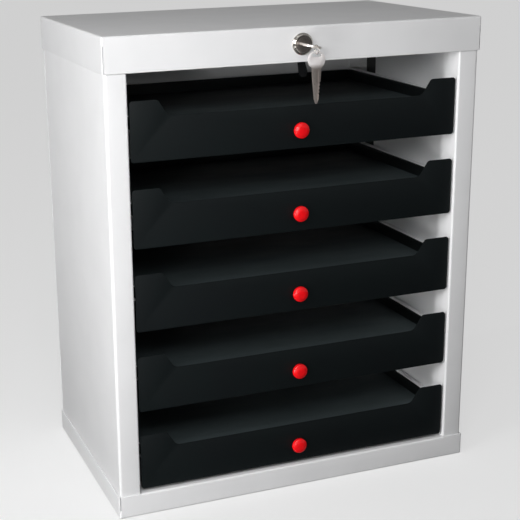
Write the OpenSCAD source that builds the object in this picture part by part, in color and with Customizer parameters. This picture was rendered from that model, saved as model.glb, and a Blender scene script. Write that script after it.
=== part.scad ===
// Small parts drawer cabinet of folded steel sheet with five sliding trays and a cam lock.
// Origin at the centre of the underside, front towards -Y, up along +Z, millimetres.

/* [Cabinet] */
// Width of the cabinet over its cap and base
cabinet_w = 400; // [330:1:500]
// Depth of the cabinet over its cap and base
cabinet_d = 240; // [225:1:320]
// Thickness of the cabinet's sheet
sheet_t = 1.2; // [1:0.1:1.6]
// Outer radius of the folds in the cabinet's sheet
fold_r = 2; // [1.7:0.1:3]
// Height of the skirt folded down round the cap
cap_skirt_h = 34.5; // [30:0.5:45]
// Height of the skirt folded up round the base
base_skirt_h = 24; // [18:0.5:35]
// Depth of the ledge folded back from the base's front skirt
base_ledge_d = 14; // [11:0.5:20]
// Gap between the ends of that ledge and the pillars
base_ledge_gap = 0.3; // [0.3:0.1:1]
// Gap between the skirts and the body that they sleeve over
sleeve_gap = 0.3; // [0.2:0.05:0.5]
// Width of the slit beside each corner of a skirt
corner_slit_w = 0.5; // [0.3:0.1:1]
// Height of skirt that is closed between a slit and the fold
corner_weld_h = 9; // [6:0.5:14]

/* [Side panels] */
// Width of the front pillar folded from each side panel
pillar_w = 22; // [18:0.5:30]
// Depth of the inner wall folded back from each pillar
inner_wall_d = 175; // [140:1:190]
// Width of the flange folded inwards at the rear of each side panel
rear_flange_w = 24; // [18:0.5:32]

/* [Rivets] */
// Diameter of a rivet's body
rivet_d = 3.2; // [2.4:0.1:4]
// Diameter of a rivet's domed head
rivet_head_d = 6.5; // [5.5:0.1:8]
// Height of a rivet's domed head
rivet_head_h = 1.3; // [1:0.1:1.4]
// Distance of the outer rivets from the ends of the back panel
rivet_end = 45; // [40:1:60]

/* [Tray spacing] */
// Distance from each tray to the next
tray_pitch = 84.5; // [78:0.5:100]
// Gap between the base's skirt and the lowest front
lowest_gap = 3.5; // [2:0.5:8]
// Gap between the highest front and the cap's skirt
top_gap = 26.5; // [20:0.5:50]

/* [Tray fronts] */
// Height of a front at its ears
front_h = 58.5; // [54:0.5:70]
// Depth of the cut-out between the ears
cutout_h = 16; // [10:0.1:17]
// Width of each ear along its top edge
ear_w = 28; // [20:0.5:40]
// Distance that each ear slopes in down to the cut-out
ear_slope = 10.4; // [6:0.1:16]
// Thickness of a front
front_t = 1.2; // [1:0.1:2]
// Gap between a front and each pillar
front_side_gap = 2.1; // [1.5:0.1:3]
// Distance of a front behind the pillars' face
front_recess = 2.3; // [1:0.1:5]
// Radius of a front's outer corners
front_corner_r = 3; // [1:0.1:4]
// Radius where an ear meets its slope
ear_r = 4.5; // [2:0.1:6]
// Radius where a slope meets the cut-out's edge
cutout_r = 8; // [4:0.5:10]

/* [Tray pans] */
// Thickness of a pan's sheet
tray_t = 1; // [0.8:0.1:1.2]
// Height of a pan's floor above the lower edge of its front
floor_h = 28.6; // [26.5:0.1:32]
// Height of a pan's walls above its floor
wall_h = 11.7; // [10:0.1:13]
// Distance from a pan's inner side faces to the opening's sides
pan_side_gap = 8.5; // [7.5:0.1:12]
// Gap between a pan's rear wall and the cabinet's rear flanges
pan_rear_gap = 7; // [4:0.5:15]
// Outer radius of the folds in a pan
pan_fold_r = 1.8; // [1.4:0.1:2.2]
// Height of the flange that joins a pan to its front
joint_flange_h = 19; // [15:0.5:20]
// Distance that a tray slides out before it meets its stops
tray_travel = 160; // [120:1:170]
// Gap between a pan's stop lug and the wall and floor beside it
lug_gap = 1; // [0.5:0.1:1.4]

/* [Runners] */
// Thickness of a runner's sheet
runner_t = 1; // [0.8:0.1:1.4]
// Width of the shelf that carries a pan
shelf_w = 16; // [13:0.5:22]
// Width of the lip above a pan's flange
lip_w = 7; // [5:0.1:7.3]
// Gap between a pan and the shelf that it slides on
run_gap = 0.2; // [0.1:0.05:0.4]
// Gap between a pan's flange and the lip above it
lip_gap = 0.5; // [0.3:0.05:1]
// Gap between a pan's flange and a runner's web
flange_play = 1.5; // [1:0.1:2.5]
// Gap between a runner's front end and the front of its tray
runner_end_gap = 19; // [3:0.5:25]
// Gap between a runner's rear end and the cabinet's rear flanges
runner_rear_gap = 6; // [3:0.5:15]
// Width of the stop lug at a runner's front end
stop_w = 4.5; // [3.5:0.1:5]

/* [Knobs] */
// Diameter of a knob
knob_d = 16; // [12:0.5:22]
// Length of a knob in front of its tray's front
knob_len = 7.5; // [6.5:0.5:14]
// Diameter of a knob's neck
knob_neck_d = 9; // [8:0.5:11]
// Length of a knob's neck
knob_neck_len = 1; // [0.5:0.5:2.5]
// Height over which a knob widens from its neck to its rim
knob_flare_h = 1; // [0.6:0.1:1.4]
// Height of a knob's rounded crown above its rim
knob_crown_h = 2.2; // [2:0.1:2.6]
// Length of a knob in front of its screw hole
knob_wall = 3; // [2.5:0.5:4]
// Height of a knob's axis above the lower edge of the front
knob_h = 18.2; // [17.5:0.1:22]
// Diameter of a knob's screw
knob_screw_d = 4; // [3:0.5:4.5]
// Diameter of a knob screw's head
knob_screw_head_d = 8; // [7:0.5:9]
// Height of a knob screw's head
knob_screw_head_h = 2.2; // [1.8:0.1:2.8]

/* [Lock] */
// Diameter of the lock's bezel
bezel_d = 21.5; // [20.5:0.5:25]
// Thickness of the lock's bezel
bezel_t = 3; // [2.5:0.1:4]
// Height of the straight band round the bezel
bezel_band_h = 1.2; // [0.9:0.1:1.4]
// Width of the sloping ring between the bezel's band and its face
bezel_slope_w = 1.8; // [1.2:0.1:2]
// Diameter of the lock's barrel
barrel_d = 19; // [18:0.1:19.5]
// Distance across the flats of the lock's barrel
barrel_af = 16; // [15.5:0.1:17.5]
// Length of the lock's barrel behind the face of the skirt
barrel_len = 24; // [22:0.5:30]
// Diameter of the lock's plug
plug_d = 12; // [11:0.1:12.6]
// Diameter of the plug's head
plug_head_d = 15; // [14:0.1:16]
// Thickness of the plug's head
plug_head_t = 1.4; // [1:0.1:1.8]
// Distance that the plug's head stands in front of the bezel
plug_proud = 0.2; // [0:0.1:0.6]
// Running clearance round the plug
plug_gap = 0.05; // [0.02:0.01:0.08]
// Distance across the flats of the lock's nut
nut_af = 24; // [23:0.5:27]
// Thickness of the lock's nut
nut_t = 5; // [3:0.5:7]
// Distance from the lock's axis to the tip of the cam
cam_len = 34; // [28:0.5:38]
// Width of the cam round the lock's axis
cam_w = 16; // [14:0.5:18]
// Width of the cam where it steps forward
cam_neck_w = 6; // [5:0.5:8]
// Width of the cam near its tip
cam_tip_w = 9; // [6:0.5:11]
// Distance from the barrel down to the narrowest part of the cam
cam_neck_drop = 3; // [2:0.5:4]
// Height of the cam's narrowing tip
cam_tip_h = 4; // [3:0.5:6]
// Distance that the cam steps forward, towards the back of the skirt
cam_step = 14; // [8:0.5:14]
// Thickness of the cam
cam_t = 2; // [1.5:0.1:2.5]
// Angle of the cam from hanging straight down
cam_lean = 12; // [0:1:20]
// Distance across the plug's square end
square_w = 7; // [6:0.1:8]
// Diameter of the cam's screw
cam_screw_d = 3; // [2.5:0.1:3.5]
// Length of the cam's screw below its head
cam_screw_len = 5; // [4:0.5:5]
// Height of the cam screw's head
cam_screw_head_h = 2.4; // [1.8:0.1:3]

/* [Keys] */
// Length of a key
key_len = 50; // [47:0.5:54]
// Diameter of a key's bow
bow_d = 17.5; // [17:0.5:20]
// Thickness of a key
key_t = 2; // [1.6:0.1:2.4]
// Width of a key's blade beside its bow
blade_w = 9.4; // [8.5:0.1:9.8]
// Width of a key's blade at its tip
blade_tip_w = 4.4; // [4:0.1:6]
// Length of the blade's narrowing tip
key_tip_len = 4; // [3:0.5:5]
// Depth of the notches cut along the blade
key_notch = 1.1; // [0.8:0.1:1.3]
// Distance from each notch to the next
key_notch_step = 3.4; // [3:0.1:3.6]
// Length of the blade inside the plug
key_insert = 23; // [20:0.5:23]
// Angle of the inserted key from level
key_tilt = 12; // [0:1:20]
// Length of the slot in a key's bow
bow_slot_len = 10; // [9.5:0.1:10.5]
// Width of the slot in a key's bow
bow_slot_w = 3.4; // [3.4:0.1:3.8]
// Width of metal between the slot and the bow's edge
bow_bar_w = 2.4; // [2:0.1:2.6]
// Radius of the key ring to the middle of its wire
ring_r = 4.1; // [4:0.1:4.2]
// Diameter of the key ring's wire
ring_wire_d = 1; // [0.8:0.1:1]
// Distance of the key ring to the side of the lock's axis
ring_x = 1; // [0:0.1:2.4]
// Gap between the ring's wire and the bows that it links
link_gap = 0.12; // [0.08:0.01:0.2]

/* [Hidden] */
tray_count = 5;
rivet_rows = 5;
key_notches = 4;
clear = 0.15; // gap between a screw, nut or cam and the hole or face beside it
skin = 0.1; // gap between a key's blade and the walls of the keyway
fit_gap = 0.1; // difference in diameter between a screw, rivet or barrel and its hole
seat_gap = 0.02; // gap between the ends of the body and the folds that they rest in
screw_end_gap = 0.5; // gap between a screw's tip and the end of its hole
driver_slot = 1; // width and depth of the slots in a screw's head
edge_r = 0.5; // radius of the small edges of the bezel and the keys
cam_r = 2; // radius of the corners of the cam's arm
cut = 1; // distance that a cutting solid runs past what it cuts
arc_steps = 6; // flats that make up each rounded corner
$fn = 64;

tray_ids = [for (i = [1:tray_count]) i];

white_coat = [0.92, 0.92, 0.93];
black_coat = [0.07, 0.08, 0.09];
knob_red = [0.9, 0.08, 0.09];
bright_nickel = [0.78, 0.77, 0.74];
dull_steel = [0.55, 0.55, 0.56];

// Cabinet places
tray_stack_h = (tray_count - 1) * tray_pitch + front_h;
cabinet_h = base_skirt_h + lowest_gap + tray_stack_h + top_gap + cap_skirt_h;
body_half_w = cabinet_w / 2 - sheet_t - sleeve_gap;
body_half_d = cabinet_d / 2 - sheet_t - sleeve_gap;
fold_inner_r = fold_r - sheet_t;
seat_side = max(0, fold_inner_r - sleeve_gap);
seat_lift = fold_inner_r - sqrt(pow(fold_inner_r, 2) - pow(seat_side, 2));
body_z = sheet_t + seat_lift + seat_gap;
body_h = cabinet_h - 2 * body_z;
opening_half_w = body_half_w - pillar_w;
ledge_half_w = opening_half_w - base_ledge_gap;
ledge_foot_z = base_skirt_h - fold_r - sheet_t;
rear_flange_y = body_half_d - sheet_t;
inside_rear_y = rear_flange_y - sheet_t;
rivet_x = body_half_w - rear_flange_w / 2;
rivet_step = (body_h - 2 * rivet_end) / (rivet_rows - 1);
rivet_hole_d = rivet_d + fit_gap;
rivet_tail_d = rivet_d * 1.5;
rivet_tail_len = rivet_d * 0.9;

// Tray places
front_y = front_recess - body_half_d;
front_back_y = front_y + front_t;
front_half_w = opening_half_w - front_side_gap;
pan_half_w = opening_half_w - pan_side_gap;
pan_rear_y = inside_rear_y - pan_rear_gap;
rim_h = floor_h + wall_h;
flange_edge_x = opening_half_w - runner_t - flange_play;
runner_front_y = front_back_y + runner_end_gap;
runner_rear_y = inside_rear_y - runner_rear_gap;
shelf_h = floor_h - tray_t - run_gap;
lip_h = rim_h + lip_gap;
stop_y = runner_front_y + runner_t + tray_travel + clear;
joint_flange_bottom = floor_h - joint_flange_h - tray_t;
joint_half_w = opening_half_w - shelf_w - flange_play;
knob_bore_len = knob_len - knob_wall;

// Lock places
lock_z = cabinet_h - cap_skirt_h / 2;
skirt_y = -cabinet_d / 2;
plug_face = bezel_t + plug_proud;
barrel_end = -barrel_len;
cam_screw_head_d = square_w * 1.35;
key_out = key_len - key_insert;
key_end_y = skirt_y - plug_face - key_out;

// Key ring places
wire_r = ring_wire_d / 2;
bar_y = key_end_y + bow_bar_w / 2;
ring_key_z = lock_z - ring_x * tan(key_tilt);
ring_lift = (key_t / 2 + wire_r + link_gap) / cos(key_tilt);
ring_z = ring_key_z + ring_lift - sqrt(pow(ring_r, 2) - pow(bow_bar_w / 2, 2));
ring_low_z = ring_z - ring_r;
spare_lift = wire_r + link_gap + ring_r - sqrt(pow(ring_r, 2) - pow(key_t / 2, 2));
spare_top_z = ring_low_z + spare_lift + bow_bar_w;

// Height of the lower edge of each tray's front; tray 1 is the highest
function front_z(i) = base_skirt_h + lowest_gap + (tray_count - i) * tray_pitch;

// Heights of the rows of rivets
function rivet_z(row) = body_z + rivet_end + row * rivet_step;

// Points of one corner b between neighbours a and c, rounded to the radius b[2]
function corner_arc(a, b, c) =
    let (
        corner = [b[0], b[1]],
        u = [a[0] - b[0], a[1] - b[1]] / norm([a[0] - b[0], a[1] - b[1]]),
        v = [c[0] - b[0], c[1] - b[1]] / norm([c[0] - b[0], c[1] - b[1]]),
        half = acos(u * v) / 2,
        middle = corner + (u + v) / norm(u + v) * b[2] / sin(half),
        start = corner + u * b[2] / tan(half) - middle,
        end = corner + v * b[2] / tan(half) - middle,
        from = atan2(start[1], start[0]),
        turn = atan2(end[1], end[0]) - from,
        sweep = turn > 180 ? turn - 360 : (turn < -180 ? turn + 360 : turn)
    )
    b[2] <= 0 ? [corner] : [
        for (k = [0:arc_steps])
            middle + b[2] * [cos(from + sweep * k / arc_steps), sin(from + sweep * k / arc_steps)]
    ];

// Outline through corners given as [x, y, radius]
function rounded(corners) = [
    for (i = [0:len(corners) - 1])
        each corner_arc(
            corners[(i + len(corners) - 1) % len(corners)],
            corners[i],
            corners[(i + 1) % len(corners)]
        )
];

// Corners of an upright rectangle whose lower and upper pairs have their own radii
function rectangle(w, h, low_r, high_r) = [
    [-w / 2, 0, low_r],
    [w / 2, 0, low_r],
    [w / 2, h, high_r],
    [-w / 2, h, high_r]
];

// Turns a solid built along +Z so that it points out of the cabinet's front at a given place
module facing_front(x, y, z) {
    translate([x, y, z]) rotate([90, 0, 0]) children();
}

// Repeats a solid on the left and on the right
module both_sides() {
    children();
    mirror([1, 0, 0]) children();
}

// Block on the plane z = 0 whose upright and upper edges are rounded
module soft_block(w, d, h, r) {
    intersection() {
        translate([0, -d / 2, 0])
            linear_extrude(h) polygon(rounded(rectangle(w, d, r, r)));
        translate([0, d / 2, 0]) rotate([90, 0, 0])
            linear_extrude(d) polygon(rounded(rectangle(w, h, 0, r)));
        translate([-w / 2, 0, 0]) rotate([90, 0, 90])
            linear_extrude(w) polygon(rounded(rectangle(d, h, 0, r)));
    }
}

// Lid folded from one sheet, open at z = 0, with a slit beside each corner of its side skirts
module folded_lid(skirt_h) {
    slit_y = cabinet_d / 2 - fold_r - corner_slit_w;
    difference() {
        soft_block(cabinet_w, cabinet_d, skirt_h, fold_r);
        translate([0, 0, -cut])
            soft_block(
                cabinet_w - 2 * sheet_t,
                cabinet_d - 2 * sheet_t,
                skirt_h - sheet_t + cut,
                fold_inner_r
            );
        both_sides() for (y = [-slit_y - corner_slit_w, slit_y])
            translate([cabinet_w / 2 - sheet_t - cut, y, -cut])
                cube([sheet_t + 2 * cut, corner_slit_w, skirt_h - corner_weld_h + cut]);
    }
}

// Section of the lock's barrel, round with two flats, grown by a clearance
module barrel_section(grow) {
    intersection() {
        circle(d = barrel_d + 2 * grow);
        square([barrel_af + 2 * grow, barrel_d + 2 * grow + cut], center = true);
    }
}

module cap() {
    color(white_coat) difference() {
        translate([0, 0, cabinet_h - cap_skirt_h]) folded_lid(cap_skirt_h);
        facing_front(0, skirt_y + sheet_t + cut, lock_z)
            linear_extrude(sheet_t + 2 * cut) barrel_section(clear);
    }
}

// Ledge folded back between the pillars from the top of the base's front skirt
module base_ledge() {
    translate([-ledge_half_w, 0, 0]) rotate([90, 0, 90])
        linear_extrude(2 * ledge_half_w) polygon(rounded([
            [skirt_y, ledge_foot_z, 0],
            [skirt_y + sheet_t, ledge_foot_z, 0],
            [skirt_y + sheet_t, base_skirt_h - sheet_t, fold_inner_r],
            [skirt_y + base_ledge_d, base_skirt_h - sheet_t, 0],
            [skirt_y + base_ledge_d, base_skirt_h, 0],
            [skirt_y, base_skirt_h, fold_r]
        ]));
}

module base_tray() {
    color(white_coat) {
        difference() {
            translate([0, 0, base_skirt_h]) mirror([0, 0, 1]) folded_lid(base_skirt_h);
            translate([-ledge_half_w, skirt_y - cut, ledge_foot_z])
                cube([2 * ledge_half_w, sheet_t + 2 * cut, base_skirt_h]);
        }
        base_ledge();
    }
}

// Side panel folded from one sheet: inner wall, pillar, outer wall and rear flange
module side_panel() {
    inner_end_y = inner_wall_d - body_half_d;
    difference() {
        translate([0, 0, body_z]) linear_extrude(body_h) polygon(rounded([
            [opening_half_w, inner_end_y, 0],
            [opening_half_w, -body_half_d, fold_r],
            [body_half_w, -body_half_d, fold_r],
            [body_half_w, rear_flange_y, fold_r],
            [body_half_w - rear_flange_w, rear_flange_y, 0],
            [body_half_w - rear_flange_w, inside_rear_y, 0],
            [body_half_w - sheet_t, inside_rear_y, fold_inner_r],
            [body_half_w - sheet_t, sheet_t - body_half_d, fold_inner_r],
            [opening_half_w + sheet_t, sheet_t - body_half_d, fold_inner_r],
            [opening_half_w + sheet_t, inner_end_y, 0]
        ]));
        rivet_holes();
    }
}

module side_panel_left() {
    color(white_coat) mirror([1, 0, 0]) side_panel();
}

module side_panel_right() {
    color(white_coat) side_panel();
}

// Holes for one side's rivets through the back panel and the rear flange
module rivet_holes() {
    for (row = [0:rivet_rows - 1])
        facing_front(rivet_x, body_half_d + cut, rivet_z(row))
            cylinder(d = rivet_hole_d, h = 2 * sheet_t + 2 * cut);
}

module back_panel() {
    color(white_coat) difference() {
        translate([-body_half_w, rear_flange_y, body_z])
            cube([2 * body_half_w, sheet_t, body_h]);
        both_sides() rivet_holes();
    }
}

// Blind rivet along -Z: domed head above z = 0, body through both sheets and a set tail
module rivet() {
    dome_r = (pow(rivet_head_d / 2, 2) + pow(rivet_head_h, 2)) / (2 * rivet_head_h);
    intersection() {
        translate([0, 0, rivet_head_h - dome_r]) sphere(r = dome_r);
        cylinder(d = rivet_head_d, h = rivet_head_h);
    }
    translate([0, 0, -2 * sheet_t]) cylinder(d = rivet_d, h = 2 * sheet_t);
    translate([0, 0, -2 * sheet_t - rivet_tail_len]) cylinder(d = rivet_tail_d, h = rivet_tail_len);
}

module back_rivets() {
    color(dull_steel) both_sides() for (row = [0:rivet_rows - 1])
        translate([rivet_x, body_half_d, rivet_z(row)]) rotate([-90, 0, 0]) rivet();
}

// Runner for the right-hand side: shelf, web and lip in one channel, with a stop lug in front
module runner(i) {
    outer_r = pan_fold_r;
    inner_r = pan_fold_r - runner_t;
    shelf_bottom = shelf_h - runner_t;
    lip_top = lip_h + runner_t;
    web_x = opening_half_w - runner_t;
    translate([0, 0, front_z(i)]) {
        translate([0, runner_rear_y, 0]) rotate([90, 0, 0])
            linear_extrude(runner_rear_y - runner_front_y) polygon(rounded([
                [opening_half_w - lip_w, lip_top, 0],
                [opening_half_w - lip_w, lip_h, 0],
                [web_x, lip_h, inner_r],
                [web_x, shelf_h, inner_r],
                [opening_half_w - shelf_w, shelf_h, 0],
                [opening_half_w - shelf_w, shelf_bottom, 0],
                [opening_half_w, shelf_bottom, outer_r],
                [opening_half_w, lip_top, outer_r]
            ]));
        translate([web_x - stop_w, runner_front_y, shelf_h])
            cube([stop_w, runner_t, wall_h / 2]);
    }
}

module runner_left(i) {
    color(white_coat) mirror([1, 0, 0]) runner(i);
}

module runner_right(i) {
    color(white_coat) runner(i);
}

// Lug on the right-hand flange of a pan that meets the runner's stop lug
module pan_stop() {
    lug_x = pan_half_w + tray_t + lug_gap;
    lug_bottom = floor_h - tray_t + lug_gap;
    translate([lug_x, stop_y, lug_bottom])
        cube([flange_edge_x - lug_x, tray_t, rim_h - tray_t - lug_bottom]);
}

// Floor, side walls and flanges of a pan as one section carried from front to rear
module pan_section() {
    outer_r = pan_fold_r;
    inner_r = pan_fold_r - tray_t;
    wall_x = pan_half_w + tray_t;
    under = floor_h - tray_t;
    right_side = [
        [pan_half_w, floor_h, inner_r],
        [pan_half_w, rim_h, outer_r],
        [flange_edge_x, rim_h, 0],
        [flange_edge_x, rim_h - tray_t, 0],
        [wall_x, rim_h - tray_t, inner_r],
        [wall_x, under, outer_r]
    ];
    left_side = [
        for (k = [len(right_side) - 1:-1:0])
            [-right_side[k][0], right_side[k][1], right_side[k][2]]
    ];
    polygon(rounded(concat(right_side, left_side)));
}

module tray_pan(i) {
    color(black_coat) translate([0, 0, front_z(i)]) difference() {
        union() {
            translate([0, pan_rear_y, 0]) rotate([90, 0, 0])
                linear_extrude(pan_rear_y - front_back_y) pan_section();
            translate([-pan_half_w, pan_rear_y - tray_t, floor_h - tray_t / 2])
                cube([2 * pan_half_w, tray_t, wall_h + tray_t / 2]);
            translate([-joint_half_w, front_back_y, joint_flange_bottom])
                cube([2 * joint_half_w, tray_t, joint_flange_h + tray_t / 2]);
            both_sides() pan_stop();
        }
        knob_hole();
    }
}

// Hole for a knob's screw through a front and the flange behind it
module knob_hole() {
    facing_front(0, front_back_y + tray_t + cut, knob_h)
        cylinder(d = knob_screw_d + 2 * clear, h = front_t + tray_t + 2 * cut);
}

module tray_front(i) {
    ear_x = front_half_w - ear_w;
    low_x = ear_x - ear_slope;
    edge_h = front_h - cutout_h;
    color(black_coat) translate([0, 0, front_z(i)]) difference() {
        translate([0, front_back_y, 0]) rotate([90, 0, 0]) linear_extrude(front_t) polygon(rounded([
            [-front_half_w, 0, front_corner_r],
            [front_half_w, 0, front_corner_r],
            [front_half_w, front_h, front_corner_r],
            [ear_x, front_h, ear_r],
            [low_x, edge_h, cutout_r],
            [-low_x, edge_h, cutout_r],
            [-ear_x, front_h, ear_r],
            [-front_half_w, front_h, front_corner_r]
        ]));
        knob_hole();
    }
}

// Knob along +Z: a neck under a head with a rounded rim and a low dome
module knob_body() {
    head_r = knob_d / 2;
    rim_z = knob_neck_len + knob_flare_h;
    shoulder_z = knob_len - knob_crown_h;
    shoulder_r = knob_crown_h * 0.8;
    dome_x = head_r * 0.55;
    dome_z = knob_len - knob_crown_h * 0.16;
    dome_r = knob_d * 0.375;
    neck_r = knob_flare_h * 0.6;
    difference() {
        rotate_extrude() polygon(concat(
            [[0, 0]],
            rounded([
                [0, 0, 0],
                [knob_neck_d / 2, 0, 0],
                [knob_neck_d / 2, knob_neck_len, neck_r],
                [head_r, rim_z, knob_flare_h * 0.8],
                [head_r, shoulder_z, shoulder_r],
                [dome_x, dome_z, dome_r],
                [0, knob_len, 0]
            ])
        ));
        translate([0, 0, -cut]) cylinder(d = knob_screw_d, h = knob_bore_len + cut);
    }
}

module knob(i) {
    color(knob_red) facing_front(0, front_y, front_z(i) + knob_h) knob_body();
}

module knob_screw(i) {
    shank_len = front_t + tray_t + knob_bore_len - screw_end_gap;
    color(dull_steel) facing_front(0, front_back_y + tray_t, front_z(i) + knob_h) {
        cylinder(d = knob_screw_d - fit_gap, h = shank_len);
        difference() {
            translate([0, 0, -knob_screw_head_h])
                cylinder(d = knob_screw_head_d, h = knob_screw_head_h);
            for (turn = [0, 90]) rotate([0, 0, turn])
                translate([-knob_screw_head_d / 4, -driver_slot / 2, -knob_screw_head_h - cut])
                    cube([knob_screw_head_d / 2, driver_slot, driver_slot + cut]);
        }
    }
}

// Lock housing along +Z from the face of the skirt: barrel behind it, dished bezel in front
module lock_housing() {
    recess_r = plug_head_d / 2 + 2 * plug_gap;
    recess_z = plug_face - plug_head_t - clear;
    color(bright_nickel) facing_front(0, skirt_y, lock_z) difference() {
        union() {
            translate([0, 0, barrel_end]) linear_extrude(barrel_len) barrel_section(0);
            rotate_extrude() polygon(rounded([
                [0, 0, 0],
                [bezel_d / 2, 0, 0],
                [bezel_d / 2, bezel_band_h, edge_r],
                [bezel_d / 2 - bezel_slope_w, bezel_t, edge_r],
                [0, bezel_t, 0]
            ]));
        }
        translate([0, 0, barrel_end - cut])
            cylinder(r = plug_d / 2 + plug_gap, h = barrel_len + bezel_t + 2 * cut);
        translate([0, 0, recess_z]) cylinder(r = recess_r, h = bezel_t + cut);
    }
}

// Hexagonal nut on the barrel, against the back of the cap's skirt
module lock_nut() {
    color(dull_steel) facing_front(0, skirt_y + sheet_t, lock_z) difference() {
        translate([0, 0, -nut_t])
            cylinder(d = nut_af / cos(30), h = nut_t, $fn = 6);
        translate([0, 0, -nut_t - cut]) cylinder(d = barrel_d + fit_gap, h = nut_t + 2 * cut);
    }
}

// Plug with its head, keyway and square end, turned with the inserted key
module lock_plug() {
    slot_w = blade_w + 2 * skin;
    slot_t = key_t + 2 * skin;
    color(bright_nickel) facing_front(0, skirt_y, lock_z) rotate([0, 0, -key_tilt]) difference() {
        union() {
            translate([0, 0, barrel_end]) cylinder(d = plug_d, h = barrel_len + plug_face);
            translate([0, 0, plug_face - plug_head_t]) cylinder(d = plug_head_d, h = plug_head_t);
            rotate([0, 0, key_tilt + cam_lean])
                translate([-square_w / 2, -square_w / 2, barrel_end - cam_t - clear])
                    cube([square_w, square_w, cam_t + clear + cut]);
        }
        translate([-slot_w / 2, -slot_t / 2, plug_face - key_insert - clear])
            cube([slot_w, slot_t, key_insert + clear + cut]);
        translate([0, 0, barrel_end - cam_t - clear - cut])
            cylinder(d = cam_screw_d, h = cam_screw_len + cut);
    }
}

// Cam as seen from the front, hanging from the lock's axis
module cam_outline() {
    hub_r = cam_w / 2;
    neck_y = -barrel_d / 2 - cam_neck_drop;
    tip_y = cam_tip_h - cam_len;
    difference() {
        polygon(rounded([
            [-hub_r, hub_r, cam_w * 0.3],
            [-hub_r, -hub_r, cam_w * 0.2],
            [-cam_neck_w / 2, neck_y, cam_r],
            [-cam_tip_w / 2, tip_y, cam_r],
            [-cam_tip_w / 4, -cam_len, cam_r],
            [cam_tip_w / 4, -cam_len, cam_r],
            [cam_tip_w / 2, tip_y, cam_r],
            [cam_neck_w / 2, neck_y, cam_r],
            [hub_r, -hub_r, cam_w * 0.2],
            [hub_r, hub_r, cam_w * 0.3]
        ]));
        square(square_w + 2 * skin, center = true);
    }
}

// Cam as seen from the side: hub behind the barrel, a step forward and an arm, one thickness
module cam_side() {
    hub_z = barrel_end - cam_t - clear;
    arm_z = hub_z + cam_step;
    step_y = -barrel_d / 2 - cam_r;
    inner_r = cam_t / 4;
    outer_r = inner_r + cam_t;
    polygon(rounded([
        [cam_w, hub_z, 0],
        [step_y - cam_t, hub_z, outer_r],
        [step_y - cam_t, arm_z, inner_r],
        [-cam_len - cut, arm_z, 0],
        [-cam_len - cut, arm_z + cam_t, 0],
        [step_y, arm_z + cam_t, outer_r],
        [step_y, hub_z + cam_t, inner_r],
        [cam_w, hub_z + cam_t, 0]
    ]));
}

module lock_cam() {
    color(dull_steel) facing_front(0, skirt_y, lock_z) rotate([0, 0, cam_lean]) intersection() {
        translate([0, 0, barrel_end - cam_w]) linear_extrude(barrel_len + cam_w) cam_outline();
        translate([-cam_w, 0, 0]) rotate([90, 0, 90]) linear_extrude(2 * cam_w) cam_side();
    }
}

module cam_screw() {
    color(dull_steel) facing_front(0, skirt_y, lock_z)
        translate([0, 0, barrel_end - cam_t - clear]) {
            cylinder(d = cam_screw_d - fit_gap, h = cam_screw_len - screw_end_gap);
            translate([0, 0, -cam_screw_head_h]) difference() {
                cylinder(d = cam_screw_head_d, h = cam_screw_head_h);
                translate([-cam_screw_head_d / 2 - cut, -driver_slot / 2, -cut])
                    cube([cam_screw_head_d + 2 * cut, driver_slot, driver_slot + cut]);
            }
        }
}

// Flat key from the far edge of its bow at y = 0 to its tip at y = key_len
module flat_key() {
    neck_y = bow_d - bow_slot_w / 2;
    stop_y = key_len - key_insert;
    shoulder_w = (3 * blade_w + blade_tip_w) / 4;
    slot_r = bow_slot_w / 2 - skin;
    notch_lean = (shoulder_w - blade_tip_w) / 2 / (key_insert - key_tip_len);
    translate([0, 0, -key_t / 2]) difference() {
        union() {
            translate([0, bow_d / 2, 0]) cylinder(d = bow_d, h = key_t);
            linear_extrude(key_t) polygon(rounded([
                [-blade_w / 2, neck_y, 0],
                [-shoulder_w / 2, stop_y, 0],
                [-blade_tip_w / 2, key_len - key_tip_len, edge_r],
                [-blade_tip_w / 6, key_len, edge_r],
                [blade_tip_w / 6, key_len, edge_r],
                [blade_tip_w / 2, key_len - key_tip_len, edge_r],
                [shoulder_w / 2, stop_y, 0],
                [blade_w / 2, neck_y, 0]
            ]));
        }
        translate([0, bow_bar_w, -cut]) linear_extrude(key_t + 2 * cut)
            polygon(rounded(rectangle(bow_slot_len, bow_slot_w, slot_r, slot_r)));
        for (k = [1:key_notches])
            translate([shoulder_w / 2 - k * key_notch_step * notch_lean, stop_y + k * key_notch_step, -cut])
                rotate([0, 0, 45]) linear_extrude(key_t + 2 * cut)
                    square(key_notch * sqrt(2), center = true);
    }
}

module inserted_key() {
    color(bright_nickel) translate([0, key_end_y, lock_z]) rotate([0, key_tilt, 0]) flat_key();
}

module key_ring() {
    color(bright_nickel) translate([ring_x, bar_y, ring_z]) rotate([0, 90, 0])
        rotate_extrude() translate([ring_r, 0]) circle(d = ring_wire_d, $fn = 24);
}

module spare_key() {
    color(bright_nickel) translate([ring_x, bar_y, spare_top_z]) rotate([-90, 0, 0]) flat_key();
}

cap();
base_tray();
side_panel_left();
side_panel_right();
back_panel();
back_rivets();
for (i = tray_ids) {
    runner_left(i);
    runner_right(i);
    tray_pan(i);
    tray_front(i);
    knob(i);
    knob_screw(i);
}
lock_housing();
lock_nut();
lock_plug();
lock_cam();
cam_screw();
inserted_key();
key_ring();
spare_key();
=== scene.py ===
import bmesh
import bpy
import numpy as np
from mathutils import Matrix


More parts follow.
